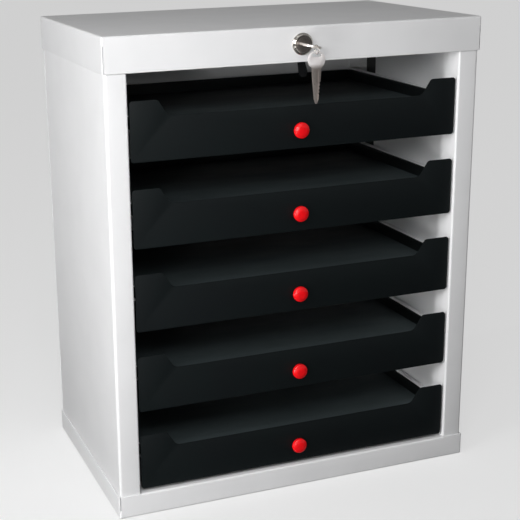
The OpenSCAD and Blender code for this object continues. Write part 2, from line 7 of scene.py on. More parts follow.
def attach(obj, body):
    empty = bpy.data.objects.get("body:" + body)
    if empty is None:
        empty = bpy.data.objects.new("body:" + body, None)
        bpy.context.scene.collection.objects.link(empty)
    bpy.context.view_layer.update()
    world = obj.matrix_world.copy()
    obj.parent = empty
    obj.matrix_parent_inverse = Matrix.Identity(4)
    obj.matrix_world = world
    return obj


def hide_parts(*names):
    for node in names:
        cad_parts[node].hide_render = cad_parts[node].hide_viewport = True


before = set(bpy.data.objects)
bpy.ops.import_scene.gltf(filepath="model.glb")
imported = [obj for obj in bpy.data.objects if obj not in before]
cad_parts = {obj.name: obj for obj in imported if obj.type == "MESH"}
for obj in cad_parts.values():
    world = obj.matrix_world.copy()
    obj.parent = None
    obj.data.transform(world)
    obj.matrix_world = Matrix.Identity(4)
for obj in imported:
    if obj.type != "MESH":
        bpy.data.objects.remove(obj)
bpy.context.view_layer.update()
trayNumbers = range(1, 6)
millimetre = 0.001


# Materials

def toLinear(hexColour):
    srgb = np.array([int(hexColour[i:i + 2], 16) for i in (1, 3, 5)]) / 255
    linear = np.where(srgb <= 0.04045, srgb / 12.92, ((srgb + 0.055) / 1.055) ** 2.4)
    return (*linear.tolist(), 1.0)


def addNode(tree, kind, settings=None, links=None):
    node = tree.nodes.new("ShaderNode" + kind)
    for name, value in (settings or {}).items():
        if isinstance(name, int) or name in node.inputs:
            node.inputs[name].default_value = value
        else:
            setattr(node, name, value)
    for name, socket in (links or {}).items():
        tree.links.new(socket, node.inputs[name])
    return node


def newMaterial(name):
    material = bpy.data.materials.new(name)
    material.use_nodes = True
    tree = material.node_tree
    tree.nodes.clear()
    shader = addNode(tree, "BsdfPrincipled")
    output = addNode(tree, "OutputMaterial")
    tree.links.new(shader.outputs["BSDF"], output.inputs["Surface"])
    place = addNode(tree, "TexCoord").outputs["Object"]
    return material, tree, shader, place


def noiseAt(tree, place, sizeMm, detail=3, stretch=(1, 1, 1)):
    # a noise whose features are about sizeMm apart
    mapping = addNode(tree, "Mapping", {"Scale": stretch}, {"Vector": place})
    return addNode(
        tree,
        "TexNoise",
        {"Scale": 1 / (sizeMm * millimetre), "Detail": detail, "Roughness": 0.55},
        {"Vector": mapping.outputs["Vector"]},
    ).outputs["Fac"]


def rangeOf(tree, value, low, high, fromLow=0.3, fromHigh=0.7):
    return addNode(
        tree,
        "MapRange",
        {"From Min": fromLow, "From Max": fromHigh, "To Min": low, "To Max": high},
        {"Value": value},
    ).outputs["Result"]


def blendColours(tree, amount, first, second):
    return addNode(
        tree,
        "MixRGB",
        {"Color1": toLinear(first), "Color2": toLinear(second)},
        {"Fac": amount},
    ).outputs["Color"]


def addBump(tree, shader, height, depthMm, strength=1.0):
    bump = addNode(
        tree,
        "Bump",
        {"Strength": strength, "Distance": depthMm * millimetre},
        {"Height": height},
    )
    tree.links.new(bump.outputs["Normal"], shader.inputs["Normal"])


def powderCoat(name, colour, shade, roughness, grainMm, depthMm, specular=0.5):
    # sprayed and baked powder: an even satin colour over a fine orange peel that breaks highlights
    material, tree, shader, place = newMaterial(name)
    cloud = noiseAt(tree, place, 60, 2)
    grain = noiseAt(tree, place, grainMm, 2)
    colourSocket = blendColours(tree, rangeOf(tree, cloud, 0, 1), colour, shade)
    tree.links.new(colourSocket, shader.inputs["Base Color"])
    patch = rangeOf(tree, cloud, roughness - 0.03, roughness + 0.03)
    tree.links.new(patch, shader.inputs["Roughness"])
    shader.inputs["Specular IOR Level"].default_value = specular
    addBump(tree, shader, grain, depthMm)
    return material


def coatOf(material):
    # what is needed to change a finished coat from place to place
    tree = material.node_tree
    shader = next(node for node in tree.nodes if node.type == "BSDF_PRINCIPLED")
    colour = shader.inputs["Base Color"].links[0].from_socket
    axes = addNode(tree, "SeparateXYZ", {}, {"Vector": addNode(tree, "TexCoord").outputs["Object"]})
    return tree, shader, colour, axes


def between(tree, value, low, high):
    # one where the value lies from low to high, in millimetres, and nought elsewhere
    above = addNode(tree, "Math", {"operation": "GREATER_THAN", 1: low * millimetre}, {0: value})
    below = addNode(tree, "Math", {"operation": "LESS_THAN", 1: high * millimetre}, {0: value})
    both = addNode(tree, "Math", {"operation": "MULTIPLY"}, {
        0: above.outputs["Value"], 1: below.outputs["Value"]})
    return both.outputs["Value"]


def paintedHollowShadeCoat(name, powder, hollowShade, hollow):
    # the powder outside; the inside of a side wall's hollow is painted shade, a dark colour where it
    # lies in shade
    material = powderCoat(name, **powder)
    tree, shader, coat, axes = coatOf(material)
    across = addNode(tree, "Math", {"operation": "ABSOLUTE"}, {0: axes.outputs["X"]})
    inside = addNode(tree, "Math", {"operation": "MULTIPLY"}, {
        0: between(tree, across.outputs["Value"], *hollow["x"]),
        1: between(tree, axes.outputs["Y"], *hollow["y"])})
    colourHere = addNode(tree, "MixRGB", {"Color2": toLinear(hollowShade)}, {
        "Fac": inside.outputs["Value"], "Color1": coat})
    tree.links.new(colourHere.outputs["Color"], shader.inputs["Base Color"])
    return material


def keyWithPaintedBowHighlight(name, bow, bladeColour, bladeBare, shoulderZ, fade=2.5):
    # a key whose bow is painted lighter and less metallic than its milled blade below the shoulder,
    # a painted highlight for the light the bow catches; the change is spread over the fade, in
    # millimetres, each way
    material = metalFinish(name, **bow)
    tree, shader, bowColour, axes = coatOf(material)
    fadeFrom, fadeTo = (shoulderZ - fade) * millimetre, (shoulderZ + fade) * millimetre
    blade = rangeOf(tree, axes.outputs["Z"], 1, 0, fadeFrom, fadeTo)
    colourHere = addNode(tree, "MixRGB", {"Color2": toLinear(bladeColour)}, {
        "Fac": blade, "Color1": bowColour})
    tree.links.new(colourHere.outputs["Color"], shader.inputs["Base Color"])
    tree.links.new(rangeOf(tree, blade, bow["bare"], bladeBare, 0, 1), shader.inputs["Metallic"])
    return material


def paintedFloorLightPanCoat(name, pans, floorLight):
    # the trays' black coat, with painted light on each floor: lit grey at the front fading to painted
    # shade at the rear
    material, tree, shader, place = newMaterial(name)
    axes = addNode(tree, "SeparateXYZ", {}, {"Vector": place})
    low = (pans["lowest"] - len(trayNumbers) * pans["pitch"]) * millimetre
    pitch = pans["pitch"] * millimetre
    lifted = addNode(tree, "Math", {"operation": "SUBTRACT", 1: low}, {0: axes.outputs["Z"]})
    within = addNode(tree, "Math", {"operation": "MODULO", 1: pitch}, {0: lifted.outputs["Value"]})
    top = (pans["floor"] + floorLight["above"]) * millimetre
    fade = floorLight["fade"] * millimetre
    onFloor = rangeOf(tree, within.outputs["Value"], 1, 0, top, top + fade)
    fromY, toY = floorLight["fromY"] * millimetre, floorLight["toY"] * millimetre
    # painted shade: each floor darkens from fromY back to toY, where the tray above shades it
    toShadedRear = addNode(
        tree,
        "MapRange",
        {"interpolation_type": "SMOOTHSTEP", "From Min": fromY, "From Max": toY},
        {"Value": axes.outputs["Y"]},
    ).outputs["Result"]
    # a patchy noise that breaks up the painted light on the floor and varies the roughness
    patchyNoise = noiseAt(tree, place, floorLight["patchMm"], 4, (0.4, 1, 1))
    litGrey = blendColours(tree, rangeOf(tree, patchyNoise, 0, 1), *floorLight["litGrey"])
    floor = addNode(tree, "MixRGB", {"Color2": toLinear(floorLight["rear"])}, {"Fac": toShadedRear, "Color1": litGrey})
    coat = addNode(tree, "MixRGB", {"Color1": toLinear(floorLight["wall"])}, {
        "Fac": onFloor, "Color2": floor.outputs["Color"]})
    tree.links.new(coat.outputs["Color"], shader.inputs["Base Color"])
    tree.links.new(rangeOf(tree, patchyNoise, *floorLight["roughness"]), shader.inputs["Roughness"])
    shader.inputs["Specular IOR Level"].default_value = floorLight["specular"]
    addBump(tree, shader, noiseAt(tree, place, floorLight["grainMm"], 2), floorLight["depthMm"])
    return material


def metalFinish(name, colour, shade, roughness, grainMm, depthMm, stretch=(1, 1, 1), bare=1.0):
    # plated or bare metal: reflections blurred by fine polishing lines and handling marks; where bare
    # is less than one, a dull film of wear scatters the rest
    material, tree, shader, place = newMaterial(name)
    shader.inputs["Metallic"].default_value = bare
    grain = noiseAt(tree, place, grainMm, 3, stretch)
    cloud = noiseAt(tree, place, 5, 3)
    colourSocket = blendColours(tree, rangeOf(tree, cloud, 0, 1), colour, shade)
    tree.links.new(colourSocket, shader.inputs["Base Color"])
    patch = rangeOf(tree, grain, roughness - 0.05, roughness + 0.07)
    tree.links.new(patch, shader.inputs["Roughness"])
    addBump(tree, shader, grain, depthMm)
    return material


def mouldedPlastic(name, colour, shade, roughness):
    # glossy injection-moulded ABS: a clear highlight with a very slight ripple and fine rubbing
    material, tree, shader, place = newMaterial(name)
    ripple = noiseAt(tree, place, 4, 1)
    patchyNoise = noiseAt(tree, place, 0.9, 4)
    colourSocket = blendColours(tree, rangeOf(tree, ripple, 0, 1), colour, shade)
    tree.links.new(colourSocket, shader.inputs["Base Color"])
    tree.links.new(rangeOf(tree, patchyNoise, roughness, roughness + 0.1), shader.inputs["Roughness"])
    shader.inputs["Subsurface Weight"].default_value = 0.08
    shader.inputs["Subsurface Radius"].default_value = (0.002, 0.0005, 0.0003)
    addBump(tree, shader, ripple, 0.02)
    return material


whitePowder = {
    "colour": "#f4f4f5", "shade": "#efeff0", "roughness": 0.34, "grainMm": 1.6, "depthMm": 0.012}
blackPowder = {
    "colour": "#0f1516", "shade": "#0c1113", "roughness": 0.5, "grainMm": 1.1, "depthMm": 0.02,
    "specular": 0.2}
keyPolish = {"roughness": 0.32, "grainMm": 0.35, "depthMm": 0.006, "stretch": (1, 1, 0.15)}
whiteCoat = powderCoat("white_powder_coat", **whitePowder)
blackCoat = powderCoat("black_powder_coat", **blackPowder)
redPlastic = mouldedPlastic("red_moulded_abs", "#fd141c", "#f3121a", roughness=0.16)
nickelPlate = metalFinish(
    "nickel_plated_zinc", "#d8d4ce", "#c2beb7", roughness=0.17, grainMm=0.5, depthMm=0.003, bare=0.95)
# the plug is painted a darker nickel than the bezel, a painted shade for the dark reflections on the
# lock's face
plugFacePaintedDark = metalFinish(
    "satin_nickel_plug_painted_dark", "#9a9490", "#847e7a", roughness=0.3, grainMm=0.4, depthMm=0.005, bare=0.9)
keyMetal = metalFinish("satin_nickel_key_bow", "#f0eae4", "#ddd6d0", **keyPolish, bare=0.5)
zincSteel = metalFinish(
    "zinc_plated_steel", "#b6b8ba", "#9b9da0", roughness=0.34, grainMm=0.8, depthMm=0.006)
# the cam and its screw in a dark grey zinc
darkZinc = metalFinish(
    "dark_zinc_finish", "#3b3c3e", "#2c2d2f", roughness=0.42, grainMm=0.7, depthMm=0.006)
aluminiumRivet = metalFinish(
    "bare_aluminium_rivet", "#c3c5c6", "#adb0b2", roughness=0.38, grainMm=0.6, depthMm=0.006)
print("materials made")


# Shapes: each is (points in millimetres, faces), and parts of one piece are joined before it is built

def arcRound(corners, steps=8):
    # corners (x, y, radius): each becomes an arc about m = b + (u + v) / |u + v| * r / sin(half)
    points = []
    for i, (x, y, radius) in enumerate(corners):
        here = np.array([x, y], float)
        before = np.array(corners[i - 1][:2], float) - here
        after = np.array(corners[(i + 1) % len(corners)][:2], float) - here
        if radius <= 0:
            points.append(here)
            continue
        u = before / np.linalg.norm(before)
        v = after / np.linalg.norm(after)
        half = np.arccos(np.clip(u @ v, -1, 1)) / 2
        middle = here + (u + v) / np.linalg.norm(u + v) * radius / np.sin(half)
        start = here + u * radius / np.tan(half) - middle
        end = here + v * radius / np.tan(half) - middle
        fromAngle = np.arctan2(start[1], start[0])
        turn = (np.arctan2(end[1], end[0]) - fromAngle + np.pi) % (2 * np.pi) - np.pi
        angles = fromAngle + turn * np.linspace(0, 1, steps + 1)
        points.extend(middle + radius * np.column_stack([np.cos(angles), np.sin(angles)]))
    return np.array(points)


def prism(outline, start, end, along):
    # an outline (a, b) carried along one axis: along z it lies in xy, along y in xz, along x in yz
    columns = {"z": [0, 1, 2], "y": [0, 2, 1], "x": [2, 0, 1]}[along]
    count = len(outline)
    lower = np.column_stack([outline, np.full(count, start)])
    upper = np.column_stack([outline, np.full(count, end)])
    i = np.arange(count)
    j = (i + 1) % count
    sides = np.column_stack([i, j, j + count, i + count]).tolist()
    faces = sides + [i[::-1].tolist(), (i + count).tolist()]
    return np.vstack([lower, upper])[:, columns], faces


def block(low, high):
    outline = [(low[0], low[1]), (high[0], low[1]), (high[0], high[1]), (low[0], high[1])]
    return prism(np.array(outline, float), low[2], high[2], "z")


def ringLoft(rings):
    # closed loops of equal length joined in order, with a flat face at each end
    count = len(rings[0])
    base = np.arange(len(rings) - 1)[:, None] * count
    i = np.arange(count)
    j = (i + 1) % count
    faces = np.stack([base + i, base + j, base + j + count, base + i + count], axis=-1)
    ends = [i[::-1].tolist(), (i + (len(rings) - 1) * count).tolist()]
    return np.vstack(rings), faces.reshape(-1, 4).tolist() + ends


def turned(profile, place, steps=96):
    # profile (radius, distance forward) turned about an axis that points to the front, -Y
    angles = np.linspace(0, 2 * np.pi, steps, endpoint=False)
    rings = [
        np.column_stack([r * np.cos(angles), np.full(steps, -out), r * np.sin(angles)]) + place
        for r, out in profile
    ]
    return ringLoft(rings)


def moved(solid, rotation=None, shift=(0, 0, 0)):
    points, faces = solid
    turnedPoints = points if rotation is None else points @ np.array(rotation).T
    return turnedPoints + np.array(shift, float), faces


def mirrored(solid):
    points, faces = solid
    return points * [-1, 1, 1], [face[::-1] for face in faces]


def joined(solids):
    offset = 0
    allPoints = []
    allFaces = []
    for points, faces in solids:
        allPoints.append(points)
        allFaces.extend([[v + offset for v in face] for face in faces])
        offset += len(points)
    return np.vstack(allPoints), allFaces


def meshOf(name, solid):
    points, faces = solid
    mesh = bpy.data.meshes.new(name)
    mesh.from_pydata((np.array(points) * millimetre).tolist(), [], faces)
    edit = bmesh.new()
    edit.from_mesh(mesh)
    bmesh.ops.recalc_face_normals(edit, faces=edit.faces)
    edit.to_mesh(mesh)
    edit.free()
    return mesh


def build(name, solids, material, body, replaced, bevelMm=0.0, smoothDeg=35, cutters=()):
    piece = bpy.data.objects.new(name, meshOf(name, joined(solids)))
    bpy.context.scene.collection.objects.link(piece)
    if cutters:
        tool = bpy.data.objects.new(name + "_cutter", meshOf(name + "_cutter", joined(cutters)))
        bpy.context.scene.collection.objects.link(tool)
        cut = piece.modifiers.new("cut", "BOOLEAN")
        cut.object = tool
        cut.solver = "EXACT"
        applyModifiers(piece)
        bpy.data.objects.remove(tool)
    if bevelMm:
        soften = piece.modifiers.new("soft edges", "BEVEL")
        soften.width = bevelMm * millimetre
        soften.segments = 2
        soften.limit_method = "ANGLE"
        soften.angle_limit = np.radians(50)
        applyModifiers(piece)
    piece.data.polygons.foreach_set("use_smooth", np.ones(len(piece.data.polygons), bool))
    piece.data.set_sharp_from_angle(angle=np.radians(smoothDeg))
    piece.data.materials.clear()
    piece.data.materials.append(material)
    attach(piece, body)
    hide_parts(*replaced)


def applyModifiers(piece):
    graph = bpy.context.evaluated_depsgraph_get()
    result = bpy.data.meshes.new_from_object(piece.evaluated_get(graph))
    piece.modifiers.clear()
    piece.data = result


# The case

case = {
    "width": 400, "depth": 240, "height": 485, "sheet": 1.2, "foldRadius": 2.0,
    "capSkirt": 34.5, "baseSkirt": 24.0, "slit": 1.0, "slitIn": 0.8, "slitClosed": 9.0,
    "slitReach": 3.0, "leastFold": 0.02, "softEdge": 0.15, "hollowShade": "#141516",
    "bodyHalfWidth": 198.5, "bodyHalfDepth": 118.5, "pillar": 22.0, "innerWall": 175.0,
    "rearFlange": 24.0, "rim": 0.35, "foldSteps": 10, "ends": 1.395, "frontFold": 3.0,
    "ledgeDepth": 14.0, "ledgeHalfWidth": 176.2,
}
lock = {
    "z": case["height"] - case["capSkirt"] / 2, "faceY": -case["depth"] / 2, "bezel": 21.5,
    "bezelThick": 3.0, "barrel": 19.0, "barrelFlats": 16.0, "barrelLength": 24.0, "plug": 12.0,
    "plugHead": 15.0, "plugHeadThick": 1.4, "proud": 0.2, "holeGap": 0.1, "boreGap": 0.05,
    "bedGap": 0.15,
}
openingHalf = case["bodyHalfWidth"] - case["pillar"]
rearFlangeY = case["bodyHalfDepth"] - case["sheet"]
insideRearY = rearFlangeY - case["sheet"]


def lidRing(inset, height, radius):
    halfW = case["width"] / 2 - inset
    halfD = case["depth"] / 2 - inset
    corners = [(-halfW, -halfD), (halfW, -halfD), (halfW, halfD), (-halfW, halfD)]
    outline = arcRound([(x, y, max(radius, case["leastFold"])) for x, y in corners], case["foldSteps"])
    return np.column_stack([outline, np.full(len(outline), height)])


def foldedLid(skirt):
    # up the inside of the skirt, over its rim and up the outside; each fold is r(1 - cos a), r sin a
    sheet, rim, outer = case["sheet"], case["rim"], case["foldRadius"]
    inner = outer - sheet
    angles = np.linspace(0, np.pi / 2, case["foldSteps"] + 1)
    inside = [
        (sheet + inner * (1 - np.cos(a)), skirt - sheet - inner * (1 - np.sin(a)), inner * np.cos(a))
        for a in angles
    ]
    outside = [
        (outer * (1 - np.cos(a)), skirt - outer * (1 - np.sin(a)), outer * np.cos(a))
        for a in angles
    ]
    lip = [(sheet, rim, inner), (sheet - rim, 0, inner), (rim, 0, outer), (0, rim, outer)]
    return ringLoft([lidRing(*stop) for stop in inside[::-1] + lip + outside])


def slitCutters(skirt):
    # an open seam at the ends of the front and rear skirts, which stops short of the plate
    outer = case["width"] / 2 - case["slitIn"]
    inner = outer - case["slit"]
    face = case["depth"] / 2
    top = skirt - case["slitClosed"]
    return [
        block((low, y - case["slitReach"], -1), (high, y + case["slitReach"], top))
        for low, high in ((-outer, -inner), (inner, outer))
        for y in (-face, face)
    ]


def lockBarrel(grow, start, end):
    # a circle clipped to two flats, carried back through the skirt
    angles = np.linspace(0, 2 * np.pi, 96, endpoint=False)
    half = lock["barrelFlats"] / 2 + grow
    radius = lock["barrel"] / 2 + grow
    across = np.clip(radius * np.cos(angles), -half, half)
    return prism(np.column_stack([across, radius * np.sin(angles) + lock["z"]]), start, end, "y")


flipped = np.diag([1, 1, -1])
capShift = (0, 0, case["height"] - case["capSkirt"])
lockHole = lockBarrel(lock["holeGap"], lock["faceY"] - 1, lock["faceY"] + case["sheet"] + 1)
build(
    "cap_folded", [moved(foldedLid(case["capSkirt"]), shift=capShift)], whiteCoat,
    "cabinet", ["cap"],
    cutters=[moved(c, shift=capShift) for c in slitCutters(case["capSkirt"])] + [lockHole],
)
baseShift = (0, 0, case["baseSkirt"])
ledgeFoot = case["baseSkirt"] - case["foldRadius"] - case["sheet"]
ledgeGap = block(
    (-case["ledgeHalfWidth"], -case["depth"] / 2 - 1, ledgeFoot),
    (case["ledgeHalfWidth"], -case["depth"] / 2 + case["sheet"] + 1, case["baseSkirt"] + 1),
)
build(
    "base_folded", [moved(foldedLid(case["baseSkirt"]), flipped, baseShift)], whiteCoat,
    "cabinet", ["base_tray"],
    cutters=[moved(c, flipped, baseShift) for c in slitCutters(case["baseSkirt"])] + [ledgeGap],
)


def baseLedge():
    sheet, outer, top = case["sheet"], case["foldRadius"], case["baseSkirt"]
    face = -case["depth"] / 2
    rear = face + case["ledgeDepth"]
    outline = arcRound([
        (face, ledgeFoot, 0), (face + sheet, ledgeFoot, 0), (face + sheet, top - sheet, outer - sheet),
        (rear, top - sheet, 0), (rear, top, 0), (face, top, outer),
    ], case["foldSteps"])
    return prism(outline, -case["ledgeHalfWidth"], case["ledgeHalfWidth"], "x")


build("base_ledge_folded", [baseLedge()], whiteCoat, "cabinet", ["base_tray"])


def sidePanel():
    sheet, outer = case["sheet"], case["foldRadius"]
    inner = outer - sheet
    wide, deep = case["bodyHalfWidth"], case["bodyHalfDepth"]
    innerEnd = case["innerWall"] - deep
    flange = wide - case["rearFlange"]
    front = case["frontFold"]
    outline = arcRound([
        (openingHalf, innerEnd, 0), (openingHalf, -deep, outer), (wide, -deep, front),
        (wide, rearFlangeY, outer), (flange, rearFlangeY, 0), (flange, insideRearY, 0),
        (wide - sheet, insideRearY, inner), (wide - sheet, sheet - deep, front - sheet),
        (openingHalf + sheet, sheet - deep, inner), (openingHalf + sheet, innerEnd, 0),
    ], case["foldSteps"])
    return prism(outline, case["ends"], case["height"] - case["ends"], "z")


# the hollow of each side wall is given painted shade, a dark colour inside it
shadedHollowWall = paintedHollowShadeCoat("white_powder_coat_painted_hollow_shade", whitePowder, case["hollowShade"], {
    "x": (openingHalf + case["sheet"] / 2, case["bodyHalfWidth"] - case["sheet"] / 2),
    "y": (case["foldRadius"] - case["bodyHalfDepth"], insideRearY - case["rim"]),
})
build("side_panel_right_folded", [sidePanel()], shadedHollowWall, "cabinet",
      ["side_panel_right"], bevelMm=case["softEdge"])
build("side_panel_left_folded", [mirrored(sidePanel())], shadedHollowWall, "cabinet",
      ["side_panel_left"], bevelMm=case["softEdge"])
print("case built")


# The trays and their runners

tray = {
    "pitch": 84.5, "lowest": 27.5, "frontY": -116.2, "frontThick": 1.2, "frontHigh": 58.5,
    "cutout": 16.0, "ear": 28.0, "slope": 10.4, "cornerRadius": 3.0, "earRadius": 4.5,
    "cutoutRadius": 8.0, "halfWidth": 174.4, "panHalf": 168.0, "panSheet": 1.0, "floor": 28.6,
    "rim": 40.3, "rearY": 109.1, "flangeEdge": 174.0, "fold": 1.8, "jointHalf": 159.0,
    "jointHigh": 20.0, "lugGap": 1.0, "frontSoftEdge": 0.3, "panSoftEdge": 0.15,
}
runner = {
    "sheet": 1.0, "shelf": 16.0, "lip": 7.0, "runGap": 0.2, "lipGap": 0.5, "frontY": -96.0,
    "rearY": 110.1, "stop": 4.5, "travel": 160, "stopPlay": 0.15, "softEdge": 0.12,
}
frontBackY = tray["frontY"] + tray["frontThick"]
stopLugY = runner["frontY"] + runner["sheet"] + runner["travel"] + runner["stopPlay"]
# the lit grey and the dark rear of each tray floor are painted light and painted shade
panFloorLight = {
    "above": 0.2, "fade": 0.5, "fromY": -40, "toY": 50, "patchMm": 35,
    "litGrey": ("#4b5557", "#434c4e"), "rear": "#1b2021", "wall": "#0e1314",
    "roughness": (0.55, 0.68), "specular": 0.25, "grainMm": 1.1, "depthMm": 0.02,
}
panCoatPaintedLight = paintedFloorLightPanCoat("black_powder_coat_painted_floor_light", tray, panFloorLight)


def trayBottom(i):
    return tray["lowest"] + (len(trayNumbers) - i) * tray["pitch"]


def trayFront():
    half = tray["halfWidth"]
    high = tray["frontHigh"]
    low = high - tray["cutout"]
    ear = half - tray["ear"]
    foot = ear - tray["slope"]
    outline = arcRound([
        (-half, 0, tray["cornerRadius"]), (half, 0, tray["cornerRadius"]),
        (half, high, tray["cornerRadius"]), (ear, high, tray["earRadius"]),
        (foot, low, tray["cutoutRadius"]), (-foot, low, tray["cutoutRadius"]),
        (-ear, high, tray["earRadius"]), (-half, high, tray["cornerRadius"]),
    ], 10)
    return prism(outline, tray["frontY"], frontBackY, "y")


def trayPan():
    half, sheet, floor, rim = tray["panHalf"], tray["panSheet"], tray["floor"], tray["rim"]
    outer = tray["fold"]
    inner = outer - sheet
    edge = tray["flangeEdge"]
    right = [
        (half, floor, inner), (half, rim, outer), (edge, rim, 0), (edge, rim - sheet, 0),
        (half + sheet, rim - sheet, inner), (half + sheet, floor - sheet, outer),
    ]
    left = [(-x, z, r) for x, z, r in right[::-1]]
    section = prism(arcRound(right + left, 8), frontBackY, tray["rearY"], "y")
    rearWall = block((-half, tray["rearY"] - sheet, floor - sheet / 2), (half, tray["rearY"], rim))
    joint = block(
        (-tray["jointHalf"], frontBackY, floor - tray["jointHigh"]),
        (tray["jointHalf"], frontBackY + sheet, floor - sheet / 2),
    )
    lugX = half + sheet + tray["lugGap"]
    lugFoot = floor - sheet + tray["lugGap"]
    lug = block((lugX, stopLugY, lugFoot), (edge, stopLugY + sheet, rim - sheet))
    return [section, rearWall, joint, lug, mirrored(lug)]


def runnerRight():
    sheet = runner["sheet"]
    shelfTop = tray["floor"] - tray["panSheet"] - runner["runGap"]
    lipUnder = tray["rim"] + runner["lipGap"]
    outer = tray["fold"]
    inner = outer - sheet
    web = openingHalf - sheet
    lipX = openingHalf - runner["lip"]
    shelfX = openingHalf - runner["shelf"]
    section = prism(arcRound([
        (lipX, lipUnder + sheet, 0), (lipX, lipUnder, 0), (web, lipUnder, inner),
        (web, shelfTop, inner), (shelfX, shelfTop, 0), (shelfX, shelfTop - sheet, 0),
        (openingHalf, shelfTop - sheet, outer), (openingHalf, lipUnder + sheet, outer),
    ], 6), runner["frontY"], runner["rearY"], "y")
    lug = block(
        (web - runner["stop"], runner["frontY"], shelfTop),
        (web, runner["frontY"] + sheet, shelfTop + (tray["rim"] - tray["floor"]) / 2),
    )
    return [section, lug]


for i in trayNumbers:
    up = (0, 0, trayBottom(i))
    build(f"tray_front_{i}_plate", [moved(trayFront(), shift=up)], blackCoat,
          f"tray_{i}", [f"tray_front_{i}"], bevelMm=tray["frontSoftEdge"])
    build(f"tray_pan_{i}_folded", [moved(s, shift=up) for s in trayPan()], panCoatPaintedLight,
          f"tray_{i}", [f"tray_pan_{i}"], bevelMm=tray["panSoftEdge"])
    rightSide = [moved(s, shift=up) for s in runnerRight()]
    build(f"runner_right_{i}_folded", rightSide, whiteCoat, "cabinet",
          [f"runner_right_{i}"], bevelMm=runner["softEdge"])
    build(f"runner_left_{i}_folded", [mirrored(s) for s in rightSide], whiteCoat,
          "cabinet", [f"runner_left_{i}"], bevelMm=runner["softEdge"])
print("trays and runners built")


# The knobs

knob = {
    "radius": 8.0, "length": 7.5, "neckRadius": 4.5, "neckLength": 1.0, "height": 18.2,
    "axis": 0.05, "back": 1.0, "dome": 2.2, "crown": 0.35, "crownShare": 0.55,
}


def knobProfile():
    # from the axis along the neck's foot, out to the rim, and over a low dome back to the axis
    head, length, axis = knob["radius"], knob["length"], knob["axis"]
    outline = arcRound([
        (axis, 0, 0), (knob["neckRadius"], 0, 0), (knob["neckRadius"], knob["neckLength"], 0.6),
        (head, knob["neckLength"] + knob["back"], 0.8), (head, length - knob["dome"], 1.8),
        (head * knob["crownShare"], length - knob["crown"], 6), (axis, length, 0),
    ], 12)
    return [tuple(p) for p in outline]


for i in trayNumbers:
    place = np.array([0, tray["frontY"], trayBottom(i) + knob["height"]])
    build(f"knob_{i}_moulded", [turned(knobProfile(), place)], redPlastic,
          f"tray_{i}", [f"knob_{i}"], smoothDeg=50)
print("knobs built")


# The lock and its keys

key = {
    "length": 50.0, "bow": 17.5, "thick": 2.0, "blade": 9.4, "tip": 4.4, "insert": 23.0,
    "tilt": 12.0, "slotLength": 10.0, "slotWidth": 3.4, "bar": 2.4, "edge": 0.3,
    "tipLength": 4.0, "notches": 4, "notch": 1.1, "notchStep": 3.4, "grooveDeep": 0.45,
    "grooves": ((-2.1, -0.7), (0.3, 1.7)), "shoulderAt": 0.25, "highlightShare": 0.85,
}
ring = {"radius": 4.1, "wire": 1.0, "x": 1.0, "gap": 0.12, "turns": 1.96, "start": 0.6}


def bezelProfile():
    # up the rim, over a sloped edge, and down to the bed that the plug's head turns on
    half, thick = lock["bezel"] / 2, lock["bezelThick"]
    hole = lock["plugHead"] / 2 + lock["holeGap"]
    bed = thick + lock["proud"] - lock["plugHeadThick"] - lock["bedGap"]
    return [tuple(p) for p in arcRound([
        (boreRadius, 0, 0), (half, 0, 0), (half, thick * 0.4, 0.6),
        (half - thick * 0.6, thick, 0.9), (hole, thick, 0.25), (hole, bed, 0),
        (boreRadius, bed, 0),
    ], 10)]


def turnedRing(profile, place, steps=128):
    # a closed profile (radius, distance forward) turned right round, with no end faces
    angles = np.linspace(0, 2 * np.pi, steps, endpoint=False)
    radii = np.array(profile)[:, 0]
    out = np.array(profile)[:, 1]
    count = len(radii)
    points = np.stack([
        np.outer(np.cos(angles), radii),
        np.tile(-out, (steps, 1)),
        np.outer(np.sin(angles), radii),
    ], axis=-1).reshape(-1, 3) + place
    a = np.arange(steps)[:, None] * count
    b = ((np.arange(steps) + 1) % steps)[:, None] * count
    i = np.arange(count)
    j = (i + 1) % count
    faces = np.stack([a + i, a + j, b + j, b + i], axis=-1).reshape(-1, 4).tolist()
    return points, faces


lockPlace = np.array([0, lock["faceY"], lock["z"]])
boreRadius = lock["plug"] / 2 + lock["boreGap"]
bore = turned([(boreRadius, 0.0), (boreRadius, -lock["barrelLength"] - 1)], lockPlace)
barrelSolid = lockBarrel(0, lock["faceY"], lock["faceY"] + lock["barrelLength"])
build("lock_barrel_turned", [barrelSolid], nickelPlate, "cabinet", ["lock_housing"],
      smoothDeg=30, cutters=[moved(bore, shift=(0, -0.5, 0))])
build("lock_bezel_turned", [turnedRing(bezelProfile(), lockPlace)], nickelPlate,
      "cabinet", ["lock_housing"], smoothDeg=40)


